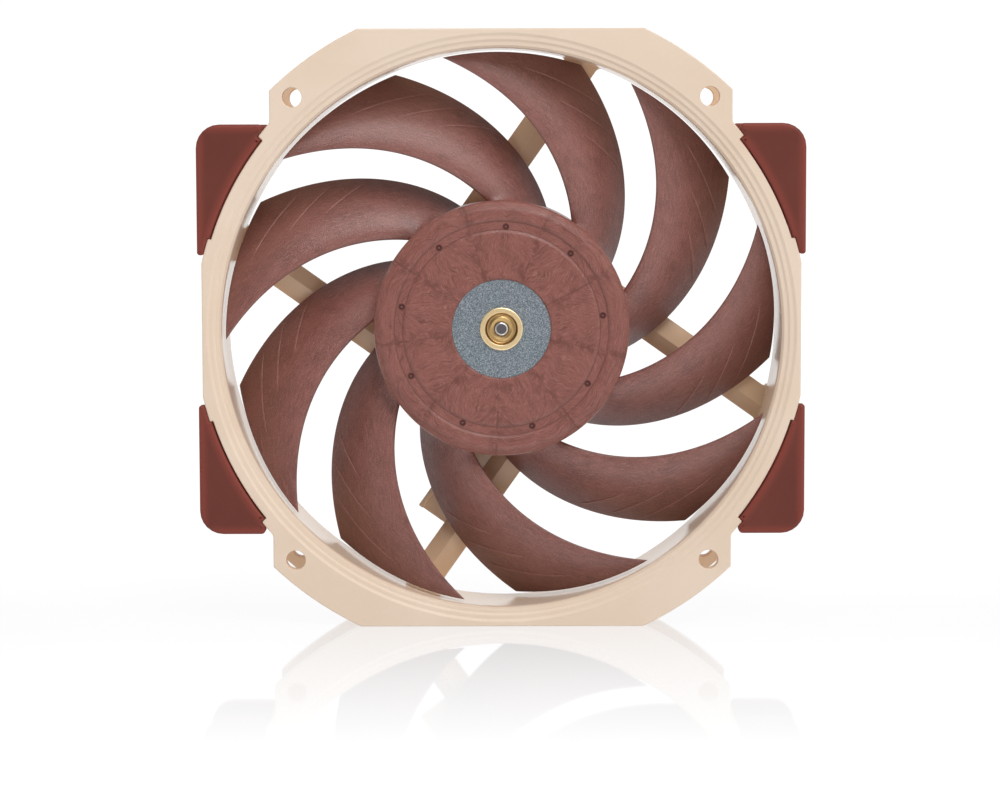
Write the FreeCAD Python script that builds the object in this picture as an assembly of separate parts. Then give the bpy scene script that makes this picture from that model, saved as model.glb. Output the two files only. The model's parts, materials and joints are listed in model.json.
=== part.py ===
import FreeCAD, Part
import math
import os

# A round axial fan for a computer case, in millimetres.
# The spin axis is Y. Air enters at the front, -Y, and leaves at the back, +Y. Z is up.
# The origin lies on the spin axis at half the frame's depth.

Vector = FreeCAD.Vector
ORIGIN = Vector(0, 0, 0)
SPIN_AXIS = Vector(0, 1, 0)

# Frame: two flanges on a thin round barrel
frame_width = 140.0
frame_depth = 25.0
flange_thickness = 3.8
flange_round_radius = 71.7
ear_corner_radius = 77.5
ear_half_width = 53.8
hole_radius = 2.3
hole_spacing_x = 97.1
hole_spacing_z = 108.4
duct_radius = 65.5
barrel_radius = 67.8
outlet_radius = 66.2
inlet_step_radii = [69.0, 67.3, 66.2]
inlet_step_depth = 0.6
inlet_step_slope = 0.35
inlet_blend_rise = 0.25
inlet_blend_depths = (1.2, 3.0)
notch_fillet = 1.5
join_overlap = 0.2

# Anti-vibration pads, one on each side of each flange
pad_side = 71.0
pad_tip_height = 17.6
pad_end_height = 48.0
pad_corner_radius = 5.5
pad_inner_end = 55.2
pad_end_radius = 0.65
pad_proud = 0.3
pad_gap = 0.35
pad_fit_gap = 0.08
recess_radius = 70.9
recess_angles = (17.4, 38.3)
tongue_angles = (20.0, 36.0)
tongue_thickness = 1.6
tongue_depth = 1.0
tongue_end_gap = 0.2

# Struts that carry the motor base, behind the blades
strut_count = 4
strut_heading = 54.6
strut_offset = 20.4
strut_width = 7.7
strut_ridge_offset = -0.5
strut_front = 8.7
strut_slope_left = 0.32
strut_slope_right = 0.62
strut_fillet = 0.8
tray_reach = 47.6
tray_width = 7.6
tray_floor = 1.5
tray_lip = 1.2
tray_lip_drop = 1.0
tray_overlap = 1.0

# Motor base, the cup at the back that holds the electronics
base_radius = 30.1
base_wall = 1.7
base_front = 8.1
base_floor = 1.6
ledge_width = 2.2
boss_radius = 7.2
boss_front = 6.9
badge_radius = 25.8
badge_thickness = 0.3
badge_gap = 0.2
lead_notch_width = 5.2

# Impeller: a hub with nine swept blades, moulded in one piece
blade_count = 9
blade_tip_radius = 64.8
blade_root_radius = 28.9
hub_radius = 30.1
hub_front = -9.0
hub_back = 7.0
hub_edge_radius = 2.6
hub_wall = 2.7
hub_skin = 1.8
hub_window_radius = 11.8
band_radii = (22.9, 25.5)
band_depth = 0.35
gate_circle_radius = 24.0
gate_radius = 0.68
gate_depth = 0.3
gate_first_angle = 7.4

# Blade sections: radius, leading angle, trailing angle, leading depth, trailing depth
blade_sections = [
    (28.9, 54.8, 27.4, -2.4, 6.3),
    (36.0, 65.2, 37.4, -3.8, 6.9),
    (44.0, 75.7, 48.0, -5.0, 6.8),
    (52.0, 85.9, 57.9, -6.3, 6.8),
    (58.0, 93.5, 65.1, -7.2, 7.0),
    (64.8, 102.1, 72.9, -8.3, 7.2),
]
blade_camber = 1.7
blade_root_thickness = 2.6
blade_tip_thickness = 1.7
blade_edge_thickness = 0.5
blade_stations = 9
blade_rows = 9

# Rotor: steel cup, ring magnet, brass bush and shaft
cup_radius = 27.3
cup_wall = 1.1
cup_plate_front = -7.1
cup_disc_front = -8.6
cup_disc_radius = 11.6
cup_back = 6.2
cup_bore_radius = 4.2
magnet_glue_gap = 0.1
magnet_inner_radius = 24.0
magnet_front = -4.5
magnet_back = 5.5
bush_flange_radius = 5.0
bush_groove_radii = (3.0, 3.9)
bush_groove_depth = 1.5
bush_face_drop = 0.1
fit_gap = 0.05
touch_gap = 0.02
bush_front = -9.2
bush_back = -3.4
shaft_radius = 1.5
shaft_front = -9.0
shaft_back = 9.6
shaft_groove_radius = 1.1
shaft_chamfer = 0.3

# Bearing
running_clearance = 0.03
seal_clearance = 0.2
sleeve_radius = 3.4
sleeve_front = -2.4
sleeve_back = 8.2
housing_radius = 4.9
housing_front = -3.0
housing_back = 10.4
groove_front = 8.35
groove_back = 9.05
clip_thickness = 0.5
clip_split = 1.0
clip_clearance = 0.06
thrust_pad_thickness = 0.7
thrust_gap = 0.05
bearing_cap_thickness = 0.8

# Stator
pole_count = 6
core_front = -2.0
core_back = 4.5
core_ring_radius = 8.5
tooth_width = 4.0
shoe_radii = (20.4, 23.4)
shoe_half_angle = 24.0
insulator_thickness = 0.8
insulator_overhang = 0.5
insulator_lip_height = 2.0
insulator_lip_gap = 0.6
insulator_lip_angle = 30.0
coil_start = 9.6
coil_end = 18.8
coil_width = 8.4
coil_overhang = 1.5
coil_edge_radius = 1.2
coil_gap = 0.15
pin_circle_radius = 12.0
pin_width = 0.6
pin_tail = 0.5
pin_angles = (30.0, 90.0, 150.0)

# Electronics
board_thickness = 1.0
board_front = 9.2
board_radius = 28.2
board_bore_radius = 7.4
# Parts on the board: radius, angle, length, width, height
driver_chip_place = (18.0, 200.0, 5.0, 6.2, 1.5)
hall_sensor_place = (22.4, 0.0, 1.6, 4.0, 2.6)
capacitor_place = (18.0, 250.0, 3.2, 3.6, 1.4)
resistor_circle_radius = 20.0
resistor_size = (1.0, 2.0, 0.5)
resistor_angles = (110, 124, 138, 152, 166)


def turned(profile, angle=360.0, start=0.0):
    """A solid turned about the spin axis from (radius, depth) points."""
    points = [Vector(radius, depth, 0) for radius, depth in profile]
    face = Part.Face(Part.makePolygon(points + points[:1]))
    solid = face.revolve(ORIGIN, SPIN_AXIS, -angle)
    return spun(solid, start)


def spun(shape, angle):
    """A copy turned about the spin axis, from +X towards +Z."""
    turned_copy = shape.copy()
    turned_copy.rotate(ORIGIN, SPIN_AXIS, -angle)
    return turned_copy


def disc(radius, front, back):
    """A round plate or rod on the spin axis, between two depths."""
    return Part.makeCylinder(radius, back - front, Vector(0, front, 0), SPIN_AXIS)


def tube(inner, outer, front, back):
    return disc(outer, front, back).cut(disc(inner, front - 1, back + 1))


def block(low, high):
    """A box between two corners."""
    size = [high[i] - low[i] for i in range(3)]
    return Part.makeBox(size[0], size[1], size[2], Vector(*low))


def polar(radius, angle, depth=0.0):
    turn = math.radians(angle)
    return Vector(radius * math.cos(turn), depth, radius * math.sin(turn))


def mirrored(shape, left, low, rear):
    """A copy reflected to another side of the frame."""
    for flag, normal in ((left, Vector(1, 0, 0)), (low, Vector(0, 0, 1)), (rear, Vector(0, 1, 0))):
        if flag:
            shape = shape.mirror(ORIGIN, normal)
    return shape


def blend_between(low, high, share):
    return low + (high - low) * share


# ---------------------------------------------------------------- frame

half_width = frame_width / 2
half_depth = frame_depth / 2
flange_back = flange_thickness - half_depth


def flange_plate():
    """The front flange before its openings: a flattened disc with four ears."""
    front, back = -half_depth, flange_back
    square = block((-half_width, front, -half_width), (half_width, back, half_width))
    ring = disc(flange_round_radius, front, back).common(square)
    ear_block = block((-ear_half_width, front, -half_width), (ear_half_width, back, half_width))
    ears = disc(ear_corner_radius, front, back).common(ear_block)
    plate = ring.fuse(ears).removeSplitter()
    corner_height = math.sqrt(flange_round_radius ** 2 - ear_half_width ** 2)
    inner_corners = [
        edge for edge in plate.Edges
        if edge.BoundBox.YLength > flange_thickness / 2
        and abs(abs(edge.CenterOfMass.x) - ear_half_width) < 0.01
        and abs(abs(edge.CenterOfMass.z) - corner_height) < 0.1
    ]
    return plate.makeFillet(notch_fillet, inner_corners)


def pad_seat(inner_radius, angles, front, back):
    """A ring sector that reaches past the flange's outline at one corner."""
    low, high = angles
    profile = [(inner_radius, front), (ear_corner_radius, front),
               (ear_corner_radius, back), (inner_radius, back)]
    return turned(profile, high - low, low)


def tongue_span():
    middle = (flange_back - half_depth) / 2
    return middle - tongue_thickness / 2, middle + tongue_thickness / 2


def flange():
    """The front flange with its mounting holes, pad recesses and pad grooves."""
    plate = flange_plate()
    tongue_front, tongue_back = tongue_span()
    recess = pad_seat(recess_radius, recess_angles, -half_depth - 1, flange_back + 1)
    groove = pad_seat(recess_radius - tongue_depth - pad_fit_gap, tongue_angles,
                      tongue_front - pad_fit_gap, tongue_back + pad_fit_gap)
    seat = recess.fuse(groove)
    for left in (False, True):
        for low in (False, True):
            plate = plate.cut(mirrored(seat, left, low, False))
            place = Vector((-1 if left else 1) * hole_spacing_x / 2, -half_depth - 1,
                           (-1 if low else 1) * hole_spacing_z / 2)
            plate = plate.cut(Part.makeCylinder(hole_radius, frame_depth, place, SPIN_AXIS))
    return plate


def air_path():
    """The duct's clear inside, with the stepped inlet at the front."""
    profile = [(0, -half_depth - 1)]
    depth = -half_depth
    profile.append((inlet_step_radii[0], -half_depth - 1))
    for radius, next_radius in zip(inlet_step_radii, inlet_step_radii[1:]):
        profile.append((radius, depth))
        depth += inlet_step_depth
        profile.append((radius - inlet_step_slope, depth))
    profile.append((inlet_step_radii[-1], depth))
    profile.append((duct_radius + inlet_blend_rise, depth + inlet_blend_depths[0]))
    profile.append((duct_radius, depth + inlet_blend_depths[1]))
    profile.append((duct_radius, strut_front))
    profile.append((outlet_radius, half_depth))
    profile.append((outlet_radius, half_depth + 1))
    profile.append((0, half_depth + 1))
    return turned(profile)


def strut_place(along, across, depth):
    """A point in the first strut's own directions: outward along it, and to its left."""
    heading = math.radians(strut_heading)
    forward = Vector(math.cos(heading), 0, math.sin(heading))
    leftward = Vector(-math.sin(heading), 0, math.cos(heading))
    return forward * along + leftward * (strut_offset + across) + Vector(0, depth, 0)


def strut_prism(outline, along_from, along_to):
    """A bar along the first strut with an (across, depth) outline."""
    points = [strut_place(along_from, across, depth) for across, depth in outline]
    face = Part.Face(Part.makePolygon(points + points[:1]))
    return face.extrude(strut_place(along_to, 0, 0) - strut_place(along_from, 0, 0))


def spider():
    """Four ridged struts, with filleted roots, between a thin rim and the motor base."""
    half = strut_width / 2
    bar = strut_prism([(-half, strut_front), (half, strut_front), (half, half_depth), (-half, half_depth)],
                      base_radius / 2, barrel_radius)
    bar = bar.common(disc(barrel_radius - 2 * join_overlap, 0, frame_depth))
    shape = tube(duct_radius, barrel_radius - join_overlap, strut_front, half_depth)
    shape = shape.fuse(disc(base_radius - join_overlap, strut_front, half_depth))
    for index in range(strut_count):
        shape = shape.fuse(spun(bar, index * 90.0))
    shape = shape.removeSplitter()
    roots = [
        edge for edge in shape.Edges
        if edge.BoundBox.YLength > 3
        and duct_radius - 0.1 < math.hypot(edge.CenterOfMass.x, edge.CenterOfMass.z) < duct_radius + 0.1
    ]
    shape = shape.makeFillet(strut_fillet, roots)
    reach = 3 * strut_width
    above = strut_front - 5
    for side, slope in ((1, strut_slope_left), (-1, strut_slope_right)):
        far = strut_ridge_offset + side * reach
        wedge = strut_prism([(strut_ridge_offset, above), (strut_ridge_offset, strut_front),
                             (far, strut_front + slope * reach), (far, above)],
                            base_radius / 2, frame_width)
        for index in range(strut_count):
            shape = shape.cut(spun(wedge, index * 90.0))
    return shape


def lead_tray():
    """The shallow channel beside the lowest left strut, where the lead would lie."""
    inner = -strut_width / 2 + tray_overlap
    outer = -strut_width / 2 - tray_width
    floor = strut_prism([(inner, half_depth - tray_floor), (outer, half_depth - tray_floor),
                         (outer, half_depth), (inner, half_depth)], base_radius / 2, tray_reach)
    lip_front = strut_front + tray_lip_drop
    lip = strut_prism([(outer, lip_front), (outer + tray_lip, lip_front),
                       (outer + tray_lip, half_depth), (outer, half_depth)], base_radius / 2, tray_reach)
    return spun(floor.fuse(lip), 180.0)


def motor_base():
    """A shallow cup with a ledge for the board and a boss for the bearing housing."""
    floor_front = half_depth - base_floor
    board_back = board_front + board_thickness
    wall_inner = base_radius - base_wall
    cup = turned([
        (0, floor_front), (wall_inner - ledge_width, floor_front), (wall_inner - ledge_width, board_back),
        (wall_inner, board_back), (wall_inner, base_front), (base_radius, base_front),
        (base_radius, half_depth), (badge_radius + badge_gap, half_depth),
        (badge_radius + badge_gap, half_depth - badge_thickness), (0, half_depth - badge_thickness),
    ])
    cup = cup.fuse(disc(boss_radius, boss_front, floor_front + base_floor / 2))
    pocket_back = housing_back + bearing_cap_thickness
    return cup.cut(disc(housing_radius, boss_front - 1, pocket_back))


def lead_notch():
    """The opening in the base's wall where the lead would leave it."""
    middle = -strut_width / 2 - tray_width / 2
    half = lead_notch_width / 2
    notch = strut_prism([(middle - half, base_front - 1), (middle + half, base_front - 1),
                         (middle + half, half_depth - tray_floor), (middle - half, half_depth - tray_floor)],
                        base_radius - 8, base_radius + 8)
    return spun(notch, 180.0)


def make_frame():
    front = flange()
    shell = front.fuse(front.mirror(ORIGIN, SPIN_AXIS))
    shell = shell.fuse(disc(barrel_radius, -half_depth, half_depth)).cut(air_path())
    tray = lead_tray().cut(disc(base_radius - base_wall / 2, 0, frame_depth))
    carrier = spider().cut(disc(base_radius - base_wall / 2, 0, frame_depth)).fuse(tray)
    return shell.fuse(carrier).fuse(motor_base()).cut(lead_notch()).removeSplitter()


# ---------------------------------------------------------------- pads

def upright_edges(shape, low, high):
    """Edges along the spin axis inside an (x, z) range."""
    return [
        edge for edge in shape.Edges
        if edge.BoundBox.YLength > 1
        and low[0] < edge.CenterOfMass.x < high[0] and low[1] < edge.CenterOfMass.z < high[1]
    ]


def make_pad(left, low, rear):
    """A rubber corner block with a tongue that plugs into the flange's edge."""
    front, back = -half_depth - pad_proud, flange_back
    outline = block((pad_inner_end, front, pad_tip_height), (pad_side, back, pad_end_height))
    corner = upright_edges(outline, (pad_side - 1, pad_end_height - 1), (pad_side + 1, pad_end_height + 1))
    outline = outline.makeFillet(pad_corner_radius, corner)
    body = outline.cut(disc(flange_round_radius + pad_fit_gap, front - 1, back + 1))
    relief = pad_seat(recess_radius + pad_gap, recess_angles, front, back)
    body = body.fuse(relief.common(outline)).removeSplitter()
    ends = upright_edges(body, (0, 0), (pad_inner_end + 0.1, pad_end_height + 1))
    ends += upright_edges(body, (0, 0), (pad_side + 1, pad_tip_height + 0.1))
    body = body.makeFillet(pad_end_radius, ends)
    tongue_front, tongue_back = tongue_span()
    span = (tongue_angles[0] + tongue_end_gap, tongue_angles[1] - tongue_end_gap)
    tongue = pad_seat(recess_radius - tongue_depth, span, tongue_front, tongue_back)
    body = body.fuse(tongue.common(disc(recess_radius + 2 * pad_gap, front, back)))
    return mirrored(body.removeSplitter(), left, low, rear)


# ---------------------------------------------------------------- impeller

def section_law(column):
    """The blade section table's column as a smooth curve over the radius."""
    curve = Part.BSplineCurve()
    curve.interpolate([Vector(row[0], row[column], 0) for row in blade_sections],
                      Parameters=[row[0] for row in blade_sections])
    return lambda radius: curve.value(radius).y


def blade_skin(side):
    """The blade's front (side -1) or back (side 1) skin as one smooth surface."""
    lead_angle, trail_angle = section_law(1), section_law(2)
    lead_depth, trail_depth = section_law(3), section_law(4)
    grid = []
    for row in range(blade_rows):
        share = row / (blade_rows - 1)
        radius = blend_between(blade_root_radius, blade_tip_radius, share)
        thickness = blend_between(blade_root_thickness, blade_tip_thickness, share)
        start = math.radians(lead_angle(radius))
        chord_angle = math.radians(trail_angle(radius)) - start
        rise = trail_depth(radius) - lead_depth(radius)
        line = []
        for station in range(blade_stations):
            t = (1 - math.cos(math.pi * station / (blade_stations - 1))) / 2
            bow = 4 * blade_camber * t * (1 - t)
            along, depth = chord_angle * radius * t, lead_depth(radius) + rise * t - bow
            run, climb = chord_angle * radius, rise - 4 * blade_camber * (1 - 2 * t)
            length = math.hypot(run, climb)
            body = (thickness - blade_edge_thickness) * math.sin(math.pi * t ** 0.65)
            offset = side * (blade_edge_thickness + body) / 2
            along += offset * climb / length
            depth -= offset * run / length
            line.append(polar(radius, math.degrees(start + along / radius), depth))
        grid.append(line)
    skin = Part.BSplineSurface()
    skin.interpolate(grid)
    return skin


def make_blade():
    """One blade as a closed solid: two skins, two edges, a root and a tip."""
    front, back = blade_skin(-1), blade_skin(1)
    faces = [front.toShape(), back.toShape()]
    u_low, u_high, v_low, v_high = front.bounds()
    pairs = [(front.uIso(u), back.uIso(u)) for u in (u_low, u_high)]
    pairs += [(front.vIso(v), back.vIso(v)) for v in (v_low, v_high)]
    faces += [Part.makeRuledSurface(one.toShape(), other.toShape()) for one, other in pairs]
    shell = Part.makeShell(faces)
    shell.sewShape()
    solid = Part.Solid(shell)
    if solid.Volume < 0:
        solid.reverse()
    return solid


def make_hub():
    """The moulded hub: a cup open at the back with a round window at the front."""
    outer = disc(hub_radius, hub_front, hub_back)
    rim = [
        edge for edge in outer.Edges
        if edge.BoundBox.YLength < 0.01 and edge.CenterOfMass.y < hub_front + 0.01
    ]
    hub = outer.makeFillet(hub_edge_radius, rim)
    hub = hub.cut(disc(hub_radius - hub_wall, hub_front + hub_skin, hub_back + 1))
    hub = hub.cut(disc(hub_window_radius, hub_front - 1, hub_back))
    hub = hub.cut(tube(band_radii[0], band_radii[1], hub_front - 1, hub_front + band_depth))
    for index in range(blade_count):
        angle = gate_first_angle + index * 360.0 / blade_count
        gate = Part.makeCylinder(gate_radius, 2, polar(gate_circle_radius, angle, hub_front - 2), SPIN_AXIS)
        gate.translate(Vector(0, band_depth + gate_depth, 0))
        hub = hub.cut(gate)
    return hub


def make_impeller():
    hub = make_hub()
    blade = make_blade()
    blades = [spun(blade, index * 360.0 / blade_count) for index in range(blade_count)]
    return hub.multiFuse(blades)


# ---------------------------------------------------------------- rotor

def make_rotor_cup():
    """A drawn steel cup with a raised disc that shows in the hub's window."""
    disc_back = cup_disc_front + cup_wall
    plate_back = cup_plate_front + cup_wall
    return turned([
        (cup_bore_radius, cup_disc_front), (cup_disc_radius, cup_disc_front),
        (cup_disc_radius, cup_plate_front), (cup_radius, cup_plate_front), (cup_radius, cup_back),
        (cup_radius - cup_wall, cup_back), (cup_radius - cup_wall, plate_back),
        (cup_disc_radius - cup_wall, plate_back), (cup_disc_radius - cup_wall, disc_back),
        (cup_bore_radius, disc_back),
    ])


def make_ring_magnet():
    return tube(magnet_inner_radius, cup_radius - cup_wall - magnet_glue_gap, magnet_front, magnet_back)


def make_hub_bush():
    """The brass bush that joins the shaft to the steel cup, with a turned groove."""
    groove_inner, groove_outer = bush_groove_radii
    groove_floor = bush_front + bush_groove_depth
    inner_front = bush_front + bush_face_drop
    flange_back_face = cup_disc_front - touch_gap
    body_radius = cup_bore_radius - fit_gap
    return turned([
        (shaft_radius, inner_front), (groove_inner, inner_front), (groove_inner, groove_floor),
        (groove_outer, groove_floor), (groove_outer, bush_front), (bush_flange_radius, bush_front),
        (bush_flange_radius, flange_back_face), (body_radius, flange_back_face),
        (body_radius, bush_back), (shaft_radius, bush_back),
    ])


def make_shaft():
    r, c = shaft_radius, shaft_chamfer
    return turned([
        (0, shaft_front), (r - c, shaft_front), (r, shaft_front + c), (r, groove_front),
        (shaft_groove_radius, groove_front), (shaft_groove_radius, groove_back),
        (r, groove_back), (r, shaft_back - c), (r - c, shaft_back), (0, shaft_back),
    ])


# ---------------------------------------------------------------- bearing

def make_bearing_housing():
    return tube(sleeve_radius, housing_radius, housing_front, housing_back)


def make_bearing_sleeve():
    return tube(shaft_radius + running_clearance, sleeve_radius, sleeve_front, sleeve_back)


def make_seal_washer():
    front = housing_front + fit_gap
    return tube(shaft_radius + seal_clearance, sleeve_radius - touch_gap, front, sleeve_front)


def make_shaft_clip():
    """A split washer in the shaft's groove that keeps the rotor from pulling out."""
    middle = (groove_front + groove_back) / 2
    front, back = middle - clip_thickness / 2, middle + clip_thickness / 2
    ring = tube(shaft_groove_radius + clip_clearance, sleeve_radius - fit_gap, front, back)
    return ring.cut(block((0, front - 1, -clip_split / 2), (sleeve_radius + 1, back + 1, clip_split / 2)))


def make_thrust_pad():
    front = shaft_back + thrust_gap
    return disc(sleeve_radius - fit_gap, front, front + thrust_pad_thickness)


def make_bearing_cap():
    return disc(housing_radius - fit_gap, housing_back, housing_back + bearing_cap_thickness)


# ---------------------------------------------------------------- stator

def radial_bar(half, inner, outer, front, back, angle):
    """A square bar that points outwards at an angle."""
    return spun(block((inner, front, -half), (outer, back, half)), angle)


def pole_angles():
    return [index * 360.0 / pole_count for index in range(pole_count)]


def make_stator_core():
    """Stacked steel sheets: a ring with six T-shaped poles."""
    core = tube(housing_radius + touch_gap, core_ring_radius, core_front, core_back)
    inner, outer = shoe_radii
    shoe = [(inner, core_front), (outer, core_front), (outer, core_back), (inner, core_back)]
    pieces = []
    for angle in pole_angles():
        pieces.append(radial_bar(tooth_width / 2, core_ring_radius - 1, inner + 1,
                                 core_front, core_back, angle))
        pieces.append(turned(shoe, 2 * shoe_half_angle, angle - shoe_half_angle))
    return core.multiFuse(pieces).removeSplitter()


def make_insulator(rear):
    """A moulded plate that keeps the windings off the core, with a lip at each pole."""
    back = core_front
    front = back - insulator_thickness
    plate = tube(housing_radius + fit_gap, core_ring_radius + insulator_overhang, front, back)
    lip_inner, lip_outer = coil_end + insulator_lip_gap, shoe_radii[0] + insulator_overhang
    lip = [(lip_inner, front - insulator_lip_height), (lip_outer, front - insulator_lip_height),
           (lip_outer, back), (lip_inner, back)]
    pieces = []
    for angle in pole_angles():
        pieces.append(radial_bar(tooth_width / 2, core_ring_radius, lip_outer - join_overlap,
                                 front, back, angle))
        pieces.append(turned(lip, insulator_lip_angle, angle - insulator_lip_angle / 2))
    plate = plate.multiFuse(pieces).removeSplitter()
    if rear:
        plate = plate.mirror(Vector(0, (core_front + core_back) / 2, 0), SPIN_AXIS)
    return plate


def make_coil_windings():
    """Six wound coils, one round each pole."""
    inner_half = tooth_width / 2 + coil_gap
    plate_front = core_front - insulator_thickness - fit_gap
    plate_back = core_back + insulator_thickness + fit_gap
    coil = block((coil_start, plate_front - coil_overhang, -coil_width / 2),
                 (coil_end, plate_back + coil_overhang, coil_width / 2))
    long_edges = [edge for edge in coil.Edges if edge.BoundBox.XLength > coil_width / 2]
    coil = coil.makeFillet(coil_edge_radius, long_edges)
    coil = coil.cut(block((coil_start - 1, plate_front, -inner_half), (coil_end + 1, plate_back, inner_half)))
    return Part.makeCompound([spun(coil, angle) for angle in pole_angles()])


def make_terminal_pins():
    half = pin_width / 2
    front = core_back + insulator_thickness
    pins = [
        radial_bar(half, pin_circle_radius - half, pin_circle_radius + half, front,
                   board_front + board_thickness + pin_tail, angle)
        for angle in pin_angles
    ]
    return Part.makeCompound(pins)


# ---------------------------------------------------------------- electronics

def make_circuit_board():
    board = tube(board_bore_radius, board_radius, board_front, board_front + board_thickness)
    for angle in pin_angles:
        place = polar(pin_circle_radius, angle, board_front - 1)
        board = board.cut(Part.makeCylinder(pin_width, board_thickness + 2, place, SPIN_AXIS))
    return board


def on_board(radius, angle, length, width, height):
    """A square part that stands on the board's front side."""
    part = block((radius - length / 2, board_front - height, -width / 2),
                 (radius + length / 2, board_front, width / 2))
    return spun(part, angle)


def make_driver_chip():
    return on_board(*driver_chip_place)


def make_hall_sensor():
    return on_board(*hall_sensor_place)


def make_capacitor():
    return on_board(*capacitor_place)


def make_chip_resistors():
    return Part.makeCompound([on_board(resistor_circle_radius, angle, *resistor_size)
                              for angle in resistor_angles])


def make_rear_badge():
    """A plain foil disc that closes the recess in the back of the base."""
    return disc(badge_radius, half_depth - badge_thickness, half_depth - touch_gap)


# ---------------------------------------------------------------- assembly

parts = {"frame": make_frame()}
for rear in (False, True):
    for low in (False, True):
        for left in (False, True):
            name = "pad_{}_{}_{}".format("rear" if rear else "front", "lower" if low else "upper",
                                         "left" if left else "right")
            parts[name] = make_pad(left, low, rear)
parts["impeller"] = make_impeller()
parts["rotor_cup"] = make_rotor_cup()
parts["ring_magnet"] = make_ring_magnet()
parts["hub_bush"] = make_hub_bush()
parts["shaft"] = make_shaft()
parts["bearing_housing"] = make_bearing_housing()
parts["bearing_sleeve"] = make_bearing_sleeve()
parts["seal_washer"] = make_seal_washer()
parts["shaft_clip"] = make_shaft_clip()
parts["thrust_pad"] = make_thrust_pad()
parts["bearing_cap"] = make_bearing_cap()
parts["stator_core"] = make_stator_core()
parts["insulator_front"] = make_insulator(False)
parts["insulator_rear"] = make_insulator(True)
parts["coil_windings"] = make_coil_windings()
parts["terminal_pins"] = make_terminal_pins()
parts["circuit_board"] = make_circuit_board()
parts["driver_chip"] = make_driver_chip()
parts["hall_sensor"] = make_hall_sensor()
parts["capacitor"] = make_capacitor()
parts["chip_resistors"] = make_chip_resistors()
parts["rear_badge"] = make_rear_badge()

os.makedirs("parts", exist_ok=True)
for name, shape in parts.items():
    shape.exportStep(os.path.join("parts", name + ".step"))
    print(name, "valid" if shape.isValid() else "INVALID", len(shape.Solids), round(shape.Volume, 1))
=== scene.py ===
import bpy
import bmesh
import json
import math
import numpy as np
from mathutils import Matrix, Vector
from mathutils.geometry import tessellate_polygon


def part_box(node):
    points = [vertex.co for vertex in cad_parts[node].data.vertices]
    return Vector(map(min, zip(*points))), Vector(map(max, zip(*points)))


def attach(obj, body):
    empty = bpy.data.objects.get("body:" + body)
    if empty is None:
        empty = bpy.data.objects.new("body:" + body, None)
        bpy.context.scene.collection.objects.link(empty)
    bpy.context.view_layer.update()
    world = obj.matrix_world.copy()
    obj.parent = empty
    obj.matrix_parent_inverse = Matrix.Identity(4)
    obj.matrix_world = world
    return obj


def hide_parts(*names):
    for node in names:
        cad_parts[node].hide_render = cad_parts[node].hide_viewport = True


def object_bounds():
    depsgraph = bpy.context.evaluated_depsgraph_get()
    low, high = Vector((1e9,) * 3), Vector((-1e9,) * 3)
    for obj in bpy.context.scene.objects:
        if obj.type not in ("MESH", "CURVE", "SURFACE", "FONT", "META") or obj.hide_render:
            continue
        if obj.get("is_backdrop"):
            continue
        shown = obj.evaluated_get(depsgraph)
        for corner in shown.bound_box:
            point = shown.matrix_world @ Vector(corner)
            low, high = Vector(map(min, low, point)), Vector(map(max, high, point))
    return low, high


# A 140 mm case fan in its studio. Shapes are drawn in millimetres and stored in metres.
# The spin axis is Y, the air enters at the front (-Y), and Z is up.

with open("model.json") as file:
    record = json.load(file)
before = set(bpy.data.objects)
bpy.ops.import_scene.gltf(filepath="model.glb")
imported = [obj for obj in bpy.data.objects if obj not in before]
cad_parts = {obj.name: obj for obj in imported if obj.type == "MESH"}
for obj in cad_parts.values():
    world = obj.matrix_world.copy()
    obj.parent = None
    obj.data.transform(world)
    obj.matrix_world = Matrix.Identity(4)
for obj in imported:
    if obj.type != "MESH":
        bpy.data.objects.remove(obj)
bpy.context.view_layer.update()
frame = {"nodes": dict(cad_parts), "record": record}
MM = 0.001


def box_mm(node):
    """A design node's lowest and highest corner, in millimetres."""
    low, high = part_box(node)
    return low / MM, high / MM


frame_low, frame_high = box_mm("frame")
pad_low, pad_high = box_mm("pad_front_upper_right")
impeller_low = box_mm("impeller")[0]
cup_low, cup_high = box_mm("rotor_cup")
bush_low, bush_high = box_mm("hub_bush")
shaft_low, shaft_high = box_mm("shaft")
badge_low, badge_high = box_mm("rear_badge")

# Frame
half_width = frame_high.x
half_depth = frame_high.y
flange_thickness = pad_high.y - frame_low.y
flange_radius = 71.7
ear_radius = 77.5
ear_half_width = 53.8
hole_radius = 2.3
hole_places = (97.1 / 2, 108.4 / 2)
recess_radius = 70.9
recess_angles = (17.4, 38.6)
shoulder_radius = 72.3
flange_edge = 0.3
duct_radius = 65.5
barrel_radius = 67.8
outlet_radius = 66.2
shell_join_radius = 69.4
# The stepped inlet, from the flange's face inwards: radius, depth behind the face, rounding
inlet_profile = [(69.0, 0.0, 0.25), (68.35, 0.40, 0.25), (67.50, 0.46, 0.2), (67.0, 0.90, 0.2),
                 (66.15, 0.98, 0.25), (65.62, 1.7, 0.4), (65.5, 2.8, 0.6)]

# Struts, lead tray and motor base
strut_heading = 54.6
strut_offset = 20.4
strut_half_width = 3.85
strut_ridge = -0.5
strut_front = 8.7
strut_slopes = (0.62, 0.32)
strut_fillet = 0.8
strut_back = half_depth - 0.08
tray_reach = 47.6
tray_width = 7.6
tray_wall = 1.2
tray_floor = 1.4
base_radius = 30.1
base_front = 8.1
base_floor = 1.6
base_bore = 28.4
ledge_radius = 26.2
ledge_depth = 10.2
boss_radius = 7.2
boss_front = 6.9
boss_bore = 4.9
boss_bore_end = 11.2
badge_recess_radius = badge_high.x + 0.2
# The notch for the lead: its reach from the centre, half its width, and its depths
notch_reach = (22.0, 34.0)
notch_half_width = 2.6
notch_depths = (7.0, 11.0)

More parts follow.
